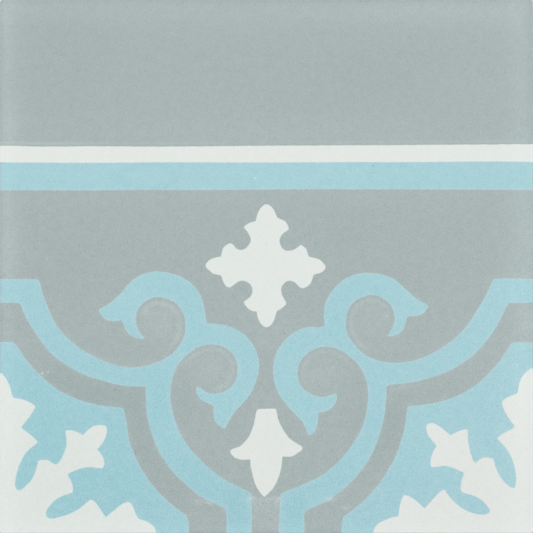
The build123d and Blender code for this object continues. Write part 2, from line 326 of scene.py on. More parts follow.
slab = {
    "draft": 1.5,  # degrees that the sides lean in
    "cornerRadius": 1.0,
    "leastCorner": 0.25,  # at the back
    "faceArris": 0.6,
    "backArris": 1.0,
    "arrisSteps": 3,
    "columns": 290,  # between the rounded corners
    "fineRows": 214,  # up to the top of the white stripe
    "fineTop": 46.6,
    "plainRows": 20,  # coarser, in the plain band
    "topRows": 4,  # finer again by its edge
    "topBand": 2.5,
    "cornerRows": 3,
    "sideLevels": (12.4, 9.0, 5.0),
    "backShare": 4,  # one back column for so many of the face
    "backInset": 1.0,  # from the back's edge in to its grid
    # ripples: depth, then the length of the waves and their seed
    "faceRipple": 0.02,
    "faceWaves": (55, 3),
    "faceWaveShare": 0.5,  # share of the depth that waves
    "sideRipple": 0.07,
    "sideWaves": (7, 5),
    "sideSquash": 1.4,  # the waves are so much shorter up the side
    "sideSink": 1.2,  # mean sink, in depths
    "sideClear": 1.0,  # smooth below the face
    "sideFade": 3.0,  # over which the ripples set in at both edges
    "backRipple": 0.22,
    "backWaves": (24, 7),
    "backFineWaves": (9, 8),
    "backFineShare": 0.5,
    "backSink": 0.4,
    "backMost": 2.0,  # deepest hollow, in depths
    # worn places of the face's edge: x, y, half-width and depth
    "chips": [
        (-99.6, 98.6, 1.3, 0.5), (99.8, 35.5, 0.9, 0.35), (99.8, 45.4, 1.1, 0.3), (-99.8, 61.5, 0.7, 0.2),
        (99.8, 92.0, 2.6, 0.25), (99.8, 80.0, 2.2, 0.2), (-92.0, -99.8, 0.9, 0.3),
        (-84.5, -99.8, 0.7, 0.25), (-73.0, -99.8, 1.0, 0.3), (-61.0, -99.8, 0.8, 0.25),
        (-53.0, -99.8, 0.7, 0.25), (20.0, 99.8, 1.4, 0.25), (38.0, 99.8, 1.2, 0.25),
        (-30.0, 99.8, 0.8, 0.15),
    ],
    "chipReach": 0.9,  # share of the face's arris that a chip reaches
    "chipIn": 0.5,  # shares of its depth inwards and downwards
    "chipDown": 0.8,
}
flatHalf = halfWidth - slab["faceArris"]  # flat of the face
faceCorner = slab["cornerRadius"] - slab["faceArris"]
innerHalf = flatHalf - faceCorner  # where the corners begin to turn


# Squares of a numbered grid, each as its four corners, anticlockwise.
def gridSquares(number):
    return np.stack([number[:-1, :-1], number[:-1, 1:], number[1:, 1:], number[1:, :-1]], -1).reshape(-1, 4)


# Numbers once round the rim of a grid, anticlockwise.
def gridRim(number):
    return np.concatenate([number[0, :-1], number[:-1, -1], number[-1, :0:-1], number[:0:-1, 0]])


# Lines of the face's grid: even columns, rows fine under the pattern and coarse in the plain band.
def faceLines(s):
    cornerLines = np.linspace(innerHalf, flatHalf, s["cornerRows"] + 1)[1:]
    topStart = innerHalf - s["topBand"]
    columns = np.linspace(-innerHalf, innerHalf, s["columns"] + 1)
    rows = [np.linspace(-innerHalf, s["fineTop"], s["fineRows"] + 1),
            np.linspace(s["fineTop"], topStart, s["plainRows"] + 1)[1:],
            np.linspace(topStart, innerHalf, s["topRows"] + 1)[1:]]
    return (np.concatenate([-cornerLines[::-1], columns, cornerLines]),
            np.concatenate([-cornerLines[::-1], *rows, cornerLines]))


# Half-widths and heights of the rings round the slab: a quarter turn round the face's arris, levels down
# the leaning side, and a quarter turn round the back's arris.
def sideRings(s):
    turn = radians(90 / s["arrisSteps"]) * np.arange(1, s["arrisSteps"] + 1)
    lean = tan(radians(s["draft"]))
    levels = np.array(s["sideLevels"])
    sideFoot = halfWidth - (thickness - s["faceArris"] - s["backArris"]) * lean
    half = np.concatenate([flatHalf + s["faceArris"] * np.sin(turn),
                           halfWidth - (thickness - s["faceArris"] - levels) * lean, [sideFoot],
                           sideFoot - s["backArris"] * (1 - np.cos(turn))])
    height = np.concatenate([thickness - s["faceArris"] * (1 - np.cos(turn)), levels, [s["backArris"]],
                             s["backArris"] * (1 - np.sin(turn))])
    return half, height


# Slab: a grid over the face, rings carried round its rim down to the back, and a coarser grid over the
# back. A ring is the rim's inner square drawn in, plus the corner radius along its outward line.
def slabSurface(s):
    lines = faceLines(s)
    face = np.stack(np.meshgrid(*lines), -1)
    number = np.arange(face[..., 0].size).reshape(face.shape[:2])
    rim = gridRim(number)
    flatPoints = face.reshape(-1, 2)
    inner = np.clip(flatPoints[rim], -innerHalf, innerHalf)
    out = flatPoints[rim] - inner
    out /= np.hypot(*out.T)[:, None]
    rounded = inner + out * faceCorner
    flatPoints[rim] = rounded
    ringHalf, ringHeight = sideRings(s)
    ringCorner = np.maximum(s["cornerRadius"] - (halfWidth - ringHalf), s["leastCorner"])
    shrink = (ringHalf - ringCorner) / innerHalf
    rings = inner * shrink[:, None, None] + out * ringCorner[:, None, None]
    ringZ = np.repeat(ringHeight[:, None], len(rim), axis=1)

    # hand-made unevenness: a faintly wavy face, rougher sides, chips, and a back with shallow hollows
    faceX, faceY = np.moveaxis(face, -1, 0)
    rimX, rimY = rounded.T
    faceZ = thickness - s["faceRipple"] * (1 + s["faceWaveShare"] * ripples(faceX, faceY, *s["faceWaves"]))
    fromFace = np.clip((thickness - s["sideClear"] - ringZ) / s["sideFade"], 0, 1)
    roughness = s["sideRipple"] * fromFace * np.clip(ringZ / s["sideFade"], 0, 1)
    roundWay = np.arctan2(rimY, rimX) * halfWidth
    waves = ripples(roundWay + 0 * ringZ, ringZ * s["sideSquash"], *s["sideWaves"])
    rings += out * (roughness * (waves - s["sideSink"]))[..., None]
    for *place, halfSize, depth in s["chips"]:
        faceZ -= depth * bell(faceX, faceY, *place, halfSize, halfSize)
        onArris = ringZ > thickness - s["faceArris"] * s["chipReach"]
        worn = depth * bell(rimX, rimY, *place, halfSize, halfSize) * onArris
        rings -= out * worn[..., None] * s["chipIn"]
        ringZ -= worn * s["chipDown"]
    backHalf = ringHalf[-1] - s["backInset"]
    back = np.stack(np.meshgrid(*(line[::s["backShare"]] * backHalf / flatHalf for line in lines)), -1)
    backX, backY = np.moveaxis(back, -1, 0)
    hollows = (s["backSink"] + ripples(backX, backY, *s["backWaves"])
               + s["backFineShare"] * ripples(backX, backY, *s["backFineWaves"]))
    backZ = s["backRipple"] * np.clip(hollows, 0, s["backMost"])

    heights = ((face, faceZ), (rings, ringZ), (back, backZ))
    points = np.concatenate([np.dstack([flat, height]).reshape(-1, 3) for flat, height in heights])
    ringNumber = number.size + np.arange(ringZ.size).reshape(ringZ.shape)
    backNumber = number.size + ringZ.size + np.arange(backZ.size).reshape(backZ.shape)
    return {"points": points, "face": number, "rim": rim, "loops": np.concatenate([rim[None], ringNumber]),
            "back": backNumber}


# Faces of the slab, turned outwards: squares of the face, of the rings and of the back, and a fan of
# triangles between the last ring and the coarser back.
def slabFaces(surface, share):
    upper = surface["loops"][:-1]
    lower = surface["loops"][1:]
    corners = [lower, np.roll(lower, -1, 1), np.roll(upper, -1, 1), upper]
    sideSquares = np.stack(corners, -1).reshape(-1, 4)
    backSquares = gridSquares(surface["back"])[:, [0, 3, 2, 1]]
    last = surface["loops"][-1]
    coarse = gridRim(surface["back"])
    fan = np.stack([np.roll(last, -1), last, np.repeat(coarse, share)], -1)
    bridge = np.stack([coarse, np.roll(coarse, -1), np.roll(last[::share], -1)], -1)
    return gridSquares(surface["face"]), sideSquares, backSquares, np.concatenate([fan, bridge])


bakeMap = {
    # left, low and size
    "face": (0.005, 0.005, 0.68), "back": (0.695, 0.005, 0.30), "sides": (0.005, 0.70, 0.68),
    "sideStep": 0.07, "sideMargin": 0.01,
}


# Flat map for the finish: face and back as seen along Z, and the four sides as strips above each other.
def slabMap(surface, parts):
    flatPoints = surface["points"][:, :2] / (2 * halfWidth) + 0.5
    left, low, size = bakeMap["face"]
    faceMap = (flatPoints[parts[0]] * size + (left, low)).reshape(-1, 2)
    left, low, size = bakeMap["back"]
    backMap = [flatPoints[part].reshape(-1, 2) * size + (left, low) for part in parts[2:]]
    rows, columns = np.array(surface["face"].shape) - 1
    perSide = np.array([columns, rows] * 2)
    side = np.repeat(np.arange(4), perSide)
    place = np.concatenate([np.arange(count) / count for count in perSide])
    strips = len(surface["loops"]) - 1
    left, low, size = bakeMap["sides"]
    height = (bakeMap["sideStep"] - bakeMap["sideMargin"]) / strips
    upperV = low + side * bakeMap["sideStep"] + (strips - np.arange(strips)[:, None]) * height
    lowerV = upperV - height
    startU = np.broadcast_to(left + place * size, upperV.shape)
    endU = np.broadcast_to(left + place * size + np.repeat(1 / perSide, perSide) * size, upperV.shape)
    corners = ((startU, lowerV), (endU, lowerV), (endU, upperV), (startU, upperV))
    sideMap = np.stack([np.stack(corner, -1) for corner in corners], 2).reshape(-1, 2)
    return np.concatenate([faceMap, sideMap] + backMap)


# Levels are steps out of 255.
bloom = {
    # pale haze that dried along the tile's edges: crest distance and levels
    "left": (3.0, 6.5), "right": (4.5, 6.5), "top": (4.5, 4.2), "bottom": (2.0, 2.0),
    "hazeStart": 0.4,  # how far outside the edge it begins
    "hazeOnOthers": 0.35,  # share of it on the blue and the white
    # pale rims along the outlines: levels, and the distance in which they halve
    "greyRim": ((1.4, 1.3, 1.3), 0.7),
    "blueRim": ((4.0, 1.0, 0.5), 0.9),
    # places where the grey rim is stronger or weaker: x, y, half-width, half-height and how many times
    "rimPlaces": [
        (-60, -42, 30, 12, 1.9), (-45, -70, 14, 18, 2.0), (-30, -62, 9, 16, 2.2), (30, -62, 9, 16, 1.6),
        (45, -70, 14, 18, 1.8), (62, -42, 30, 12, 1.8), (20, 28, 80, 3, 1.4), (-62, -32, 18, 9, 2.4),
        (64, -30, 18, 9, 1.6), (-41.5, -14.5, 7, 7, -2.4), (39.2, -17, 9, 9, -2.2), (-20, -35, 9, 8, 1.8),
        (-31, -25, 4, 5, 2.4), (-34.5, -43, 5, 9, 2.2), (35.5, -42, 5, 9, 2.2), (33, -84, 12, 8, 1.6),
        (-83, -28, 8, 10, 1.8), (-82, -15, 5, 9, 1.4), (84, -36, 8, 8, 1.4),
    ],
    # pale rings in the eyes and the arch: x, y, reach, gap to the outline, half-width, levels, heading
    "rings": [
        (-39.5, -19.5, 12, 2.15, 0.95, 7.5, 45), (39.2, -19.3, 12, 1.8, 0.85, 6.0, 150),
        (-20.6, -39.0, 12, 1.75, 0.85, 6.5, 45), (21.0, -40.0, 12, 1.8, 0.9, 4.0, 90),
        (52.0, -46.0, 8, 1.6, 0.7, 5.0, 135),
    ],
    "ringPower": 6,  # the larger, the flatter the ring's top
    "ringGap": (0.8, 0.5),  # open opposite the heading: its end, as a cosine below zero, and its fade
    # wear of the eased edge on each side, and painted light and shade on it set against how the lamps light
    # that side: levels on the grey, the blue and the white
    "wearAndPaintedLight": {"left": (-4, -2, 20), "right": (22, 22, 40), "top": (-5, -5, 0), "bottom": (14, 26, 26)},
    "wearAndPaintedLightStart": 0.45,  # share of it on the first ring
    # thin pale trace above the white stripe: x, half-width and levels
    "traces": [(-84, 26, 9), (-34, 20, 4), (34, 30, 4), (84, 22, 5)],
    # clouds on each pour: x, y, half-width, half-height and levels, one for all or red, green and blue
    "greyClouds": [
        (98, 94, 4, 9, -3), (84, 90, 16, 9, 1.6), (60, 96, 32, 5, 3.6), (-97, 92, 4, 9, 1.5),
        (-96.5, 53, 4, 8, 3.5), (-97, 8, 4, 11, 3.5), (96, 14, 9, 16, 2), (99.5, 8, 2, 18, 6),
        # the cloud at (32, 100) is painted shade along the top edge
        (99, -21, 4, 6, 8), (32, 100, 26, 0.7, -5), (-74, 76, 14, 22, -1.6), (-82, 90, 22, 5, -1.6),
        (36, 72, 20, 8, -1.4), (80, 68, 12, 12, 1.6), (15, 50, 95, 7, 3.2, 3, 3), (5, 26, 100, 4, 1.8),
        (66, 25, 14, 6, 1.2), (-73, 0, 14, 14, -2.2, -1.8, -1.8), (30, 12, 6, 6, -1.8),
        (3, -23, 12, 10, 3, 2.8, 2.8), (12, 8, 8, 8, 1.4), (72, -20, 16, 12, 2, 1.8, 1.8),
        (92, -7, 9, 6, 4), (82, -33, 18, 10, 2.2, 1.8, 1.8), (42, -62, 9, 13, -4.2, -3.4, -3.4),
        (48, -57, 6, 10, -2, -1.8, -1.8), (-39.5, -19.5, 8, 8, 6.2), (39.2, -19.3, 8, 8, 5, 4.8, 4.8),
        (-20.6, -39, 8, 8, 6, 5.8, 5.8), (21, -40, 8, 8, 5.2, 5, 5), (-56, -50, 26, 12, -5.6, -4.2, -3.8),
        (-47, -70, 9, 14, -4.4, -3.6, -3.4), (-76, -42, 14, 10, -3, -2.6, -2.4),
        (-35, -84, 9, 9, -4.2, -3.8, -3.8), (-97, -19, 7, 7, -3.4), (0, -60, 14, 12, 1.3, 1, 1),
        # the cloud at (0, -100) is painted shade along the bottom edge
        (-48, -36, 15, 4, 2.6, 2.4, 2.4), (40, -31, 26, 4, 1.5), (0, -100, 60, 1.4, -5),
    ],
    "blueClouds": [
        (-80, -75, 34, 40, -8.4, -3.4, -2.6), (80, -75, 34, 40, 2, 0.2, 0.2),
        (-42, -49, 9, 11, -4.4, -2, -1.4), (-28, -78, 12, 12, -5, -2, -1.4),
        (-11, -92, 5, 9, -6.5, -3, -2.2), (27, -78, 12, 12, -3, -1.2, -1), (11, -92, 5, 9, -6.5, -2.6, -2),
        (0, 34, 120, 7, 4.5, 2.5, 1.8), (0, -94, 120, 20, -1.8, -2.4, -1.8),
        (-54, -56, 8, 12, -2.4, -1.4, -1.2), (-51, -84, 10, 14, -3.4, -1, -1),
        (52, -80, 7, 9, -2.6, -1.2, -1), (0, -98.4, 60, 1.7, 2.4, 2.4, 2), (96, -52, 8, 32, 5.5, 1.6, 1.2),
        (54, -12, 10, 12, 2.6, 1.5, 1), (92, -10, 14, 10, 3, 1.4, 1), (80, -22, 10, 14, 2.4, 1.1, 0.8),
        (-52, -12, 9, 10, 2.6, 1.6, 1.2), (-28, -18, 6, 8, -2, -0.4, 0), (28, -20, 6, 9, -2, -0.5, 0),
        (40, -60, 5, 7, -3.6, -2, -1.5), (-18, -84, 9, 7, -2.6, -1.2, -1),
        (-88, -44, 10, 12, -2.4, -0.8, -0.6), (100, 0, 2.5, 60, 3.6, 1, 0.3), (100, 34, 2, 6, 4, 1.6, 0.4),
    ],
    "whiteClouds": [
        (-80, -75, 34, 30, -3.8, -3, -3.4), (0, -68, 14, 20, -1.6, -2, -2),
        (80, -75, 34, 30, -0.5, -2.3, -2), (0, 42, 120, 4, 1, 0.8, 1.2),
        (0, -92, 120, 14, -1.4, -1.3, -1.3), (96, -46, 6, 16, 1.6, 1.4, 1.4),
    ],
    # faint ovals in the blue stripe: x, y, half-width, half-height and levels of their rims
    "ovals": [(-44.7, 33.9, 10.8, 4.4, -4.5, -2.2, -1.5), (49.0, 33.7, 10, 4.2, -3.2, -1.4, -1)],
    "ovalRim": 0.2,  # share of the oval
    # pale veil on the grey stem: top, half-width, levels and the distance in which it dies away
    "veil": (-86.7, 7.0, 8.0, 9.0),
    # pale smears by the stems and in the eyes: x, y, half-width, half-height and levels
    "smears": [
        (-6.4, -87.6, 1.8, 1.3, 11), (5.2, -87.4, 2.2, 1.1, 8), (-0.5, -87.1, 4.5, 0.5, 3),
        (-21.4, -88.8, 1.6, 0.8, 15), (-26.0, -88.2, 3.0, 1.2, 7), (-15.4, -91.4, 1.0, 1.4, 5),
        (23.8, -87.2, 1.8, 1.0, 17), (29.6, -90.5, 2.2, 0.9, 9), (-45.4, -17.6, 1.5, 1.6, 7),
        (45.2, -18.9, 1.6, 1.6, 6), (33.0, -25.6, 1.1, 1.8, 2), (35.6, -28.8, 1.4, 1.5, 2.5),
        (38.0, -31.4, 1.7, 1.1, 3),
    ],
}


# Slow shifts of each pour, in levels of red, green and blue: haze along the edges, pale rims along the
# outlines, flat-topped rings in the eyes, ovals in the stripe and placed clouds, two of them painted shade
# along the top and bottom edges.
def faceBloom(x, y, blueDist, whiteDist, b):
    toOutline = np.maximum(-np.maximum(blueDist, whiteDist), 0)
    inBlue = np.maximum(np.minimum(blueDist, -whiteDist), 0)
    grey, blue, white = (np.zeros(x.shape + (3,)) for pour in range(3))
    fromEdge = {"left": halfWidth + x, "right": halfWidth - x, "top": halfWidth - y, "bottom": halfWidth + y}
    for name, distance in fromEdge.items():
        crest, strength = b[name]
        haze = strength * hazeBand(distance + b["hazeStart"], crest)[..., None]
        grey += haze
        blue += haze * b["hazeOnOthers"]
        white += haze * b["hazeOnOthers"]
    strength, half = b["greyRim"]
    rimTimes = 1 + sum(times * bell(x, y, *place) for *place, times in b["rimPlaces"])
    grey += np.multiply.outer(rimTimes * 0.5 ** (toOutline / half), strength)
    strength, half = b["blueRim"]
    blue += np.multiply.outer(0.5 ** (inBlue / half), strength)
    gapStart, gapFade = b["ringGap"]
    for ringX, ringY, reach, ringAt, ringHalf, strength, heading in b["rings"]:
        facing = np.cos(np.arctan2(y - ringY, x - ringX) - radians(heading))
        ring = strength * np.exp(-((toOutline - ringAt) / ringHalf) ** b["ringPower"])
        ring *= np.clip((facing + gapStart) / gapFade, 0, 1) * (np.hypot(x - ringX, y - ringY) < reach)
        grey += ring[..., None]
    for ovalX, ovalY, halfX, halfY, *shift in b["ovals"]:
        share = np.hypot((x - ovalX) / halfX, (y - ovalY) / halfY)
        blue += np.multiply.outer(np.exp(-((share - 1) / b["ovalRim"]) ** 2), shift)
    for total, places in ((grey, b["greyClouds"]), (blue, b["blueClouds"]), (white, b["whiteClouds"])):
        for cloud in places:
            total += np.multiply.outer(bell(x, y, *cloud[:4]), cloud[4:])
    return {"greyShift": grey, "blueShift": blue, "whiteShift": white}


# Pale deposit in levels: a veil that dies away down the grey stem from a sharp line, and bells for smears.
def paleDeposit(x, y, intoGrey, b):
    veilTop, veilHalf, strength, reach = b["veil"]
    below = veilTop - y
    total = strength * np.exp(-below / reach) * (below > 0) * (np.abs(x) < veilHalf) * (intoGrey > 0)
    for *place, strength in b["smears"]:
        total += strength * bell(x, y, *place)
    return total


# Strength of the pale trace above the white stripe: bells along x.
def stripeTrace(x, y, b):
    along = sum(levels * np.exp(-((x - middle) / half) ** 2) for middle, half, levels in b["traces"])
    return (y > traceFloor) * along


# Wear of the eased edge with painted light and shade on it, lighter or darker by side: the level of
# whichever side a rim point is nearest to, less on the first ring.
def edgeWearAndPaintedLight(x, y, rings, colour, b):
    side = np.argmax([-x, x, y, -y], axis=0)
    levels = np.array([b["wearAndPaintedLight"][name][colour] for name in ("left", "right", "top", "bottom")])[side]
    share = np.where(np.arange(rings) == 0, b["wearAndPaintedLightStart"], 1.0)
    return np.multiply.outer(share, levels).ravel()


# Puts the slab into one mesh, with the distances and the slow shifts as attributes of its points. The rings
# take the values of the rim above them, and the back takes none.
def buildTile():
    surface = slabSurface(slab)
    parts = slabFaces(surface, slab["backShare"])
    points = surface["points"]
    mesh = bpy.data.meshes.new("borderTile")
    mesh.from_pydata(points * mm, [], [corners for part in parts for corners in part.tolist()])
    flatMap = slabMap(surface, parts).astype(np.float32)
    mesh.uv_layers.new(name="OFBake").data.foreach_set("uv", flatMap.ravel())
    mesh.polygons.foreach_set("use_smooth", np.ones(len(mesh.polygons), bool))
    print("slab surface", len(points), "points,", sum(len(part) for part in parts), "faces")

    face = surface["face"].ravel()
    x = points[face, 0]
    y = points[face, 1]
    blueDist = colourDistance(x, y, blueOutlines)
    whiteDist = colourDistance(x, y, whiteOutlines)
    print("outlines laid,", round(100 * np.mean(blueDist > 0)), "% of the points blue,",
          round(100 * np.mean(whiteDist > 0)), "% white")
    shifts = faceBloom(x, y, blueDist, whiteDist, bloom)
    plain = {"blueDist": blueDist, "whiteDist": whiteDist, "trace": stripeTrace(x, y, bloom),
             "deposit": paleDeposit(x, y, -np.maximum(blueDist, whiteDist), bloom)}
    rim = surface["rim"]
    rings = len(surface["loops"]) - 1
    for name, values in (plain | shifts).items():
        around = np.concatenate([values[rim]] * rings)
        if name in shifts:
            # the edge's wear and painted light and shade go onto the rings
            around += edgeWearAndPaintedLight(x[rim], y[rim], rings, list(shifts).index(name), bloom)[:, None]
        back = np.zeros((surface["back"].size,) + values.shape[1:])
        whole = np.concatenate([values, around, back]).astype(np.float32)
        kind, field = ("FLOAT_VECTOR", "vector") if name in shifts else ("FLOAT", "value")
        mesh.attributes.new(name, kind, "POINT").data.foreach_set(field, whole.ravel())
    mesh.update()
    tile = bpy.data.objects.new("borderTile", mesh)
    bpy.context.scene.collection.objects.link(tile)
    return tile


cement = {
    "grey": (0.3857, 0.4552, 0.4510),
    "blue": (0.3778, 0.6194, 0.6712),
    "white": (0.7605, 0.8020, 0.7735),
    "blueInset": 0.05,  # each pour ends so far inside its drawn outline
    "whiteInset": 0.09,
    "edgeSoft": 0.17,  # half-width of the blend between two pours
    "wobble": 0.30,  # how far the divider's edge wanders
    "fineWobble": 0.22,
    "colourDepth": 3.7,  # poured layer, before the mortar
    # noises: how many for each millimetre, detail, and how far they are moved, so that none repeats another
    "noises": {
        "blueWander": (0.45, 2.0, 0.0), "blueFine": (1.7, 1.0, 31.0), "whiteWander": (0.5, 2.0, 57.0),
        "whiteFine": (1.9, 1.0, 83.0), "grain": (2.6, 1.0, 11.0), "mottle": (0.38, 3.0, 19.0),
        "slowBreak": (0.14, 3.0, 5.0), "fineBreak": (0.8, 3.0, 29.0), "slowCloud": (0.05, 3.0, 41.0),
        "sparkle": (2.0, 2.0, 61.0), "mortarCloud": (0.09, 4.0, 71.0), "layerEdge": (0.30, 3.0, 23.0),
        "tooth": (1.6, 3.0, 97.0), "coarse": (0.9, 4.0, 13.0), "gloss": (0.6, 3.0, 3.0),
    },
    "noiseTurn": (35.0, 25.0, 40.0),  # degrees, so that the face cuts the noises aslant and no lines show
    "noiseRoughness": 0.55,
    # grain: share of each colour
    "greyGrain": (0.49, 0.455, 0.455),
    "blueGrain": (0.65, 0.325, 0.285),
    "whiteGrain": (0.15, 0.15, 0.175),
    "fieldGrain": 1.36,  # how many times stronger at the field edge and at the outer edge
    "outerGrain": 0.88,
    "grainColour": 0.2,  # share of the grain that differs between red, green and blue
    "mottle": 0.26,  # in strengths of the grain
    "pinholesPerMm": 0.35,
    "pinholeRadius": 0.32,
    "pinholeShade": 0.36,  # painted shade of each tiny pit, in strengths of the grain
    # slow shifts
    "levelShare": 0.0122,  # share of a colour in one level
    "slowBreak": 0.5,  # how much the placed shifts are broken up
    "fineBreak": 0.8,
    "slowCloud": 1.6,  # levels
    "seam": (6.0, 0.5, 0.0),  # levels of the pale line that the divider left along the blue
    "seamAt": 0.20,
    "seamHalf": 0.45,
    "traceAt": -1.2,  # pale trace above the white stripe
    "traceHalf": 0.9,
    "streak": 7.0,  # levels of the upright streaks in the haze at the left edge
    "streakPerMm": (2.0, 0.06, 0.06),
    "streakStart": 97.0,
    "streakEnd": 94.0,
    # deposits
    "pale": (0.70, 0.75, 0.76),
    "sparkle": 0.05,  # share of that colour in one level, at the tops of a deposit's texture
    "sparkleTops": (0.36, 0.72),
    # specks: x, y, radius, red, green and blue factor
    "specks": [
        (-4.3, 33.2, 0.45, 1.42, 1.16, 1.12), (40.0, 37.8, 0.40, 0.72, 0.78, 0.80),
        (6.8, -25.2, 0.40, 0.78, 0.82, 0.83), (24.0, -25.5, 0.35, 0.80, 0.84, 0.85),
        (26.0, -19.5, 0.35, 0.80, 0.84, 0.85), (12.5, -34.0, 0.35, 0.82, 0.85, 0.86),
        (-13.5, -33.5, 0.35, 0.80, 0.84, 0.85), (-56.8, -46.2, 0.45, 0.72, 0.75, 0.76),
        (86.0, -65.5, 0.35, 0.80, 0.82, 0.84), (55.0, -68.0, 0.35, 0.80, 0.84, 0.85),
        (-0.1, 8.4, 0.45, 1.02, 0.88, 0.73), (-84.2, -40.1, 0.50, 1.50, 1.40, 1.38),
        (-82.0, -39.5, 0.40, 1.35, 1.28, 1.28), (-99.4, 61.5, 0.40, 1.25, 1.20, 1.20),
        (94.1, -36.8, 0.45, 1.25, 1.08, 1.05), (92.6, -44.7, 0.40, 1.25, 1.08, 1.05),
        (81.1, -40.3, 0.50, 1.14, 1.10, 1.10), (44.1, -67.8, 0.35, 0.86, 0.86, 0.87),
    ],
    "ragged": 0.5,  # how far a speck's outline is drawn out
    "raggedPerMm": 2.0,
    "speckCore": 0.4,  # radii where a speck is whole and where it ends
    "speckEnd": 1.3,
    "tooth": 0.012,  # relief
    "roughness": 0.74,
    "roughnessSpread": 0.16,
    "specular": 0.2,
}
mortar = {
    "colour": (0.42, 0.40, 0.365),
    "pale": (0.58, 0.56, 0.52),
    "dark": (0.24, 0.23, 0.21),
    "sandPerMm": 1.1,
    "paleSand": (0.72, 0.95),  # tones over which the sand turns pale, and dark by a share
    "darkSand": (0.16, 0.05, 0.6),
    "pitsPerMm": 0.42,
    "pitShade": (0.22, 0.12, 0.55),  # distances over which a pit darkens with painted shade by a share, and deepens
    "pitSides": (0.22, 0.08, 0.5),
    "cloud": 0.5,
    "coarse": 0.5,  # relief
    "borderWander": 2.6,  # of the border between the poured layer and the mortar
    "borderSoft": 0.15,
    "rougher": 0.18,
}


# Nodes of one material. add() links an input that is another node's output and sets any other on its
# socket, and the rest are short words for common nodes.
class NodeBench:
    def __init__(self, name):
        self.material = bpy.data.materials.new(name)
        self.material.use_nodes = True
        self.tree = self.material.node_tree
        self.tree.nodes.clear()
        self.place = self.vector("SCALE", self.add("ShaderNodeTexCoord", {}, output="Object"))
        self.place.node.inputs["Scale"].default_value = 1 / mm
        self.x, self.y, self.z = self.add("ShaderNodeSeparateXYZ", {0: self.place}).node.outputs

    def add(self, kind, inputs, output=0, **settings):
        node = self.tree.nodes.new(kind)
        for name, value in settings.items():
            setattr(node, name, value)
        for socket, value in inputs.items():
            if isinstance(value, bpy.types.NodeSocket):
                self.tree.links.new(value, node.inputs[socket])
            else:
                node.inputs[socket].default_value = value
        return node.outputs[output]

    # math on values and on vectors
    def calc(self, operation, first, second=0.0):
        return self.add("ShaderNodeMath", {0: first, 1: second}, operation=operation)

    def vector(self, operation, first, second=(0, 0, 0), third=(0, 0, 0)):
        return self.add("ShaderNodeVectorMath", {0: first, 1: second, 2: third}, operation=operation)

    def plus(self, first, second):
        return self.calc("ADD", first, second)

    def times(self, first, second):
        return self.calc("MULTIPLY", first, second)

    # one value three times
    def spread(self, value):
        return self.add("ShaderNodeCombineXYZ", {0: value, 1: value, 2: value})

    # attributes of the mesh: one value, or three
    def single(self, name):
        return self.add("ShaderNodeAttribute", {}, output=2, attribute_name=name)

    def triple(self, name):
        return self.add("ShaderNodeAttribute", {}, output=1, attribute_name=name)

    # a noise of the table, moved and turned
    def noise(self, name):
        perMm, detail, offset = cement["noises"][name]
        turn = [radians(angle) for angle in cement["noiseTurn"]]
        moved = {"Vector": self.place, "Location": (offset,) * 3, "Rotation": turn}
        place = self.add("ShaderNodeMapping", moved)
        return self.add("ShaderNodeTexNoise", {"Vector": place, "Scale": perMm, "Detail": detail,
                                               "Roughness": cement["noiseRoughness"]})

    # a noise about zero
    def centred(self, value, strength):
        return self.times(self.calc("SUBTRACT", value, 0.5), strength)

    def swing(self, name, strength):
        return self.centred(self.noise(name), strength)

    # soft step from 0 at the start to the most at the end
    def ramp(self, value, start, end, most=1.0):
        limits = {"From Min": start, "From Max": end, "To Max": most}
        return self.add("ShaderNodeMapRange", {"Value": value} | limits, interpolation_type="SMOOTHSTEP")

    # soft line, 1 in its middle
    def line(self, value, middle, half):
        return self.times(self.ramp(value, middle - half, middle), self.ramp(value, middle + half, middle))

    # a plain colour with its alpha
    def opaque(self, colour):
        return colour if isinstance(colour, bpy.types.NodeSocket) else (*colour, 1.0)

    # mixes of two colours and of two vectors
    def blend(self, amount, first, second):
        colours = {6: self.opaque(first), 7: self.opaque(second)}
        return self.add("ShaderNodeMix", {0: amount} | colours, output=2, data_type="RGBA")

    def between(self, amount, first, second):
        return self.add("ShaderNodeMix", {0: amount, 4: first, 5: second}, output=1, data_type="VECTOR")

    # the shader, linked to the material's output
    def finish(self, inputs):
        shader = self.add("ShaderNodeBsdfPrincipled", inputs)
        self.tree.links.new(shader, self.tree.nodes.new("ShaderNodeOutputMaterial").inputs["Surface"])
        return self.material


# Edges and shares of the blue and the white: the drawn distance, less an inset, wanders by two noises and
# goes through a soft step.
def pourEdges(n, c):
    edges = []
    for colour in ("blue", "white"):
        wander = n.plus(n.swing(colour + "Wander", c["wobble"]), n.swing(colour + "Fine", c["fineWobble"]))
        edges.append(n.plus(n.calc("SUBTRACT", n.single(colour + "Dist"), c[colour + "Inset"]), wander))
    return edges, [n.ramp(edge, -c["edgeSoft"], c["edgeSoft"]) for edge in edges]


# Value of whichever pour lies on top: white over blue over grey.
def byPour(mix, shares, grey, blue, white):
    isBlue, isWhite = shares
    return mix(isWhite, mix(isBlue, grey, blue), white)


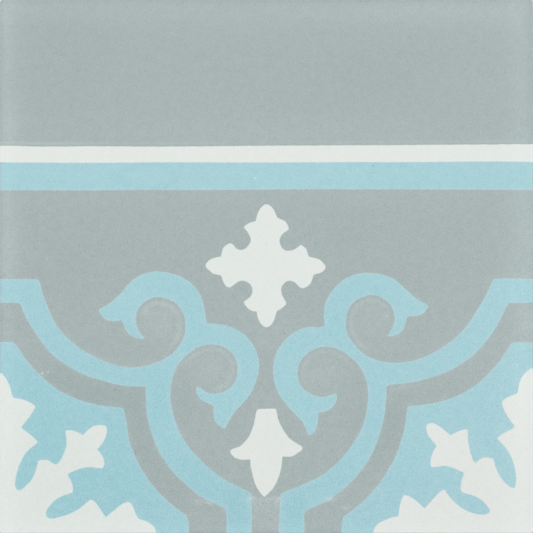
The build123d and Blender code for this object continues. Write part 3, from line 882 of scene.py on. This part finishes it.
# Grain as a factor: 1 plus each pour's share of a fine noise, a little of it tinted, with mottling and
# pinholes darkened by painted shade, and stronger towards the field edge.
def grainFactor(n, c, shares):
    strength = byPour(n.blend, shares, c["greyGrain"], c["blueGrain"], c["whiteGrain"])
    fine = n.noise("grain")
    tinted = n.vector("SUBTRACT", fine.node.outputs["Color"], (0.5, 0.5, 0.5))
    plain = n.plus(n.centred(fine, 1 - c["grainColour"] / 2), n.swing("mottle", c["mottle"]))
    toPinhole = n.add("ShaderNodeTexVoronoi", {"Vector": n.place, "Scale": c["pinholesPerMm"]})
    radius = c["pinholeRadius"] * c["pinholesPerMm"]
    # pinholes: painted shade of tiny pits, with no hollow in the relief
    plain = n.calc("SUBTRACT", plain, n.ramp(toPinhole, radius, radius / 2, c["pinholeShade"]))
    wave = n.vector("MULTIPLY_ADD", tinted, (c["grainColour"],) * 3, n.spread(plain))
    gain = n.add("ShaderNodeMapRange", {"Value": n.y, "From Min": -halfWidth, "From Max": halfWidth,
                                        "To Min": c["fieldGrain"], "To Max": c["outerGrain"]})
    return n.vector("MULTIPLY_ADD", strength, n.vector("MULTIPLY", wave, n.spread(gain)), (1, 1, 1))


# Slow shifts as a factor: 1 plus a share for each level of the placed shifts, broken up, the pale line
# along the blue, the white stripe's trace, the streaks at the left edge and faint clouds.
def slowShifts(n, c, edges, shares):
    blueEdge, whiteEdge = edges
    finely = n.plus(n.swing("fineBreak", c["fineBreak"]), 1.0)
    breakUp = n.plus(n.swing("slowBreak", c["slowBreak"]), finely)
    poured = byPour(n.between, shares, n.triple("greyShift"), n.triple("blueShift"), n.triple("whiteShift"))
    onTrace = n.line(whiteEdge, c["traceAt"], c["traceHalf"])
    plain = n.plus(n.swing("slowCloud", c["slowCloud"]), n.times(onTrace, n.single("trace")))
    streakPlace = n.vector("MULTIPLY", n.place, c["streakPerMm"])
    streak = n.add("ShaderNodeTexNoise", {"Vector": streakPlace, "Scale": 1.0})
    inStreaks = n.ramp(n.x, -c["streakEnd"], -c["streakStart"])
    plain = n.plus(plain, n.times(inStreaks, n.centred(streak, c["streak"])))
    levels = n.vector("ADD", n.vector("MULTIPLY", poured, n.spread(breakUp)), n.spread(plain))
    onLine = n.times(n.line(blueEdge, c["seamAt"], c["seamHalf"]), n.calc("SUBTRACT", 1.0, shares[1]))
    levels = n.vector("MULTIPLY_ADD", n.spread(onLine), c["seam"], levels)
    return n.vector("MULTIPLY_ADD", levels, (c["levelShare"],) * 3, (1, 1, 1))


# Specks: inside a ragged distance from its middle, each multiplies the colour by its own factor.
def withSpecks(n, c, face):
    drawnOut = n.add("ShaderNodeTexNoise", {"Vector": n.place, "Scale": c["raggedPerMm"]}, output=1)
    ragged = n.vector("MULTIPLY_ADD", drawnOut, (c["ragged"],) * 3, n.place)
    for speckX, speckY, radius, *factor in c["specks"]:
        middle = [value + c["ragged"] / 2 for value in (speckX, speckY, thickness)]
        apart = n.add("ShaderNodeVectorMath", {0: ragged, 1: middle}, output=1, operation="DISTANCE")
        clear = n.ramp(apart, radius * c["speckCore"], radius * c["speckEnd"])
        face = n.vector("MULTIPLY", face, n.blend(clear, factor, (1, 1, 1)))
    return face


# Poured face: the top pour's colour times its grain and slow shifts, under pale deposits and specks.
def pouredFace(n, c):
    edges, shares = pourEdges(n, c)
    base = byPour(n.blend, shares, c["grey"], c["blue"], c["white"])
    face = n.vector("MULTIPLY", base, grainFactor(n, c, shares))
    face = n.vector("MULTIPLY", face, slowShifts(n, c, edges, shares))
    sparkle = n.ramp(n.noise("sparkle"), *c["sparkleTops"], c["sparkle"])
    face = n.blend(n.times(sparkle, n.single("deposit")), face, c["pale"])
    return withSpecks(n, c, face)


# Sandy mortar: cells as grains of sand, some pale and some dark, with painted shade in dark pits and slow
# clouds.
def sandyMortar(n, m, pits):
    cells = n.add("ShaderNodeTexVoronoi", {"Vector": n.place, "Scale": m["sandPerMm"]}, output=1)
    tone = n.add("ShaderNodeSeparateXYZ", {0: cells})
    colour = n.blend(n.ramp(tone, *m["paleSand"]), m["colour"], m["pale"])
    colour = n.blend(n.ramp(tone, *m["darkSand"]), colour, m["dark"])
    colour = n.blend(n.ramp(pits, *m["pitShade"]), colour, m["dark"])
    cloud = n.vector("ADD", n.spread(n.swing("mortarCloud", m["cloud"])), (1, 1, 1))
    return n.vector("MULTIPLY", colour, cloud)


# Pressed cement: a poured face with a fine tooth, and coarse sandy mortar below a wandering border.
def pressedCement(c, m):
    n = NodeBench("pressedCement")
    border = thickness - c["colourDepth"]
    depth = n.plus(n.z, n.swing("layerEdge", m["borderWander"]))
    isMortar = n.ramp(depth, border + m["borderSoft"], border - m["borderSoft"])
    pits = n.add("ShaderNodeTexVoronoi", {"Vector": n.place, "Scale": m["pitsPerMm"]})
    colour = n.blend(isMortar, pouredFace(n, c), sandyMortar(n, m, pits))
    tooth = n.times(n.noise("tooth"), c["tooth"])
    coarse = n.calc("SUBTRACT", n.times(n.noise("coarse"), m["coarse"]), n.ramp(pits, *m["pitSides"]))
    relief = n.add("ShaderNodeMix", {0: isMortar, 2: tooth, 3: coarse}, data_type="FLOAT")
    bump = n.add("ShaderNodeBump", {"Strength": 1.0, "Distance": mm, "Height": relief})
    rougher = n.plus(n.times(isMortar, m["rougher"]), c["roughness"])
    roughness = n.plus(n.swing("gloss", c["roughnessSpread"]), rougher)
    return n.finish({"Base Color": colour, "Roughness": roughness, "Normal": bump,
                     "Specular IOR Level": c["specular"]})


tile = buildTile()
tile.data.materials.append(pressedCement(cement, mortar))
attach(tile, "root")
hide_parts("border_tile")
print("tile built and finished")


stage = {
    "floorHalf": 3000.0,
    "floorLines": 9,
    "floorDrop": 0.02,  # below the tile's back, so that the two never share a plane
    "floorColour": (0.70, 0.73, 0.735),
    "floorShade": 0.96,  # the floor's clouds, as a share of its colour
    "cloudsPerMm": 0.006,
    "floorRoughness": 0.85,
    "skyStrength": 0.6,
    "sunShare": 0.4,
    "sunTilt": 12.0,  # degrees
    "sunHeading": 220.0,
    "sunWidth": 50.0,
}


# Pale floor: a flat square grid under the tile, with a faint cloudiness.
def buildFloor(s):
    line = np.linspace(-s["floorHalf"], s["floorHalf"], s["floorLines"]) * mm
    floorX, floorY = np.meshgrid(line, line)
    floorZ = 0 * floorX - s["floorDrop"] * mm
    squares = gridSquares(np.arange(floorX.size).reshape(floorX.shape))
    mesh = bpy.data.meshes.new("studioFloor")
    mesh.from_pydata(np.stack([floorX, floorY, floorZ], -1).reshape(-1, 3), [], squares.tolist())
    n = NodeBench("paleFloor")
    cloud = n.add("ShaderNodeTexNoise", {"Vector": n.place, "Scale": s["cloudsPerMm"]})
    colour = n.blend(cloud, s["floorColour"], [s["floorShade"] * value for value in s["floorColour"]])
    mesh.materials.append(n.finish({"Base Color": colour, "Roughness": s["floorRoughness"]}))
    floor = bpy.data.objects.new("studioFloor", mesh)
    bpy.context.scene.collection.objects.link(floor)


# Soft light: an even sky and a wide sun, set so that the two together light the face with strength 1.
def buildLight(s):
    world = bpy.data.worlds.new("studioSky")
    world.use_nodes = True
    sky = world.node_tree.nodes["Background"]
    sky.inputs["Color"].default_value = (1, 1, 1, 1)
    sky.inputs["Strength"].default_value = s["skyStrength"]
    bpy.context.scene.world = world
    sun = bpy.data.lights.new("studioSun", "SUN")
    sun.energy = s["sunShare"] * pi / cos(radians(s["sunTilt"]))
    sun.angle = radians(s["sunWidth"])
    lamp = bpy.data.objects.new("studioSun", sun)
    lamp.rotation_euler = (radians(s["sunTilt"]), 0, radians(s["sunHeading"]))
    bpy.context.scene.collection.objects.link(lamp)


view = {"frameWidth": 200.0, "lens": 180.0, "sensor": 36.0, "farthest": 100.0}  # the last one in metres


# Camera straight above: as far from the face as makes the frame's width fill the sensor.
def buildCamera(v):
    camera = bpy.data.cameras.new("photoCamera")
    camera.lens = v["lens"]
    camera.sensor_width = v["sensor"]
    camera.clip_end = v["farthest"]
    eye = bpy.data.objects.new("photoCamera", camera)
    eye.location = (0, 0, (thickness + v["frameWidth"] * v["lens"] / v["sensor"]) * mm)
    bpy.context.scene.collection.objects.link(eye)
    bpy.context.scene.camera = eye


buildFloor(stage)
buildLight(stage)
buildCamera(view)
bpy.context.scene.view_settings.view_transform = "Standard"
print("stage, light and camera set")
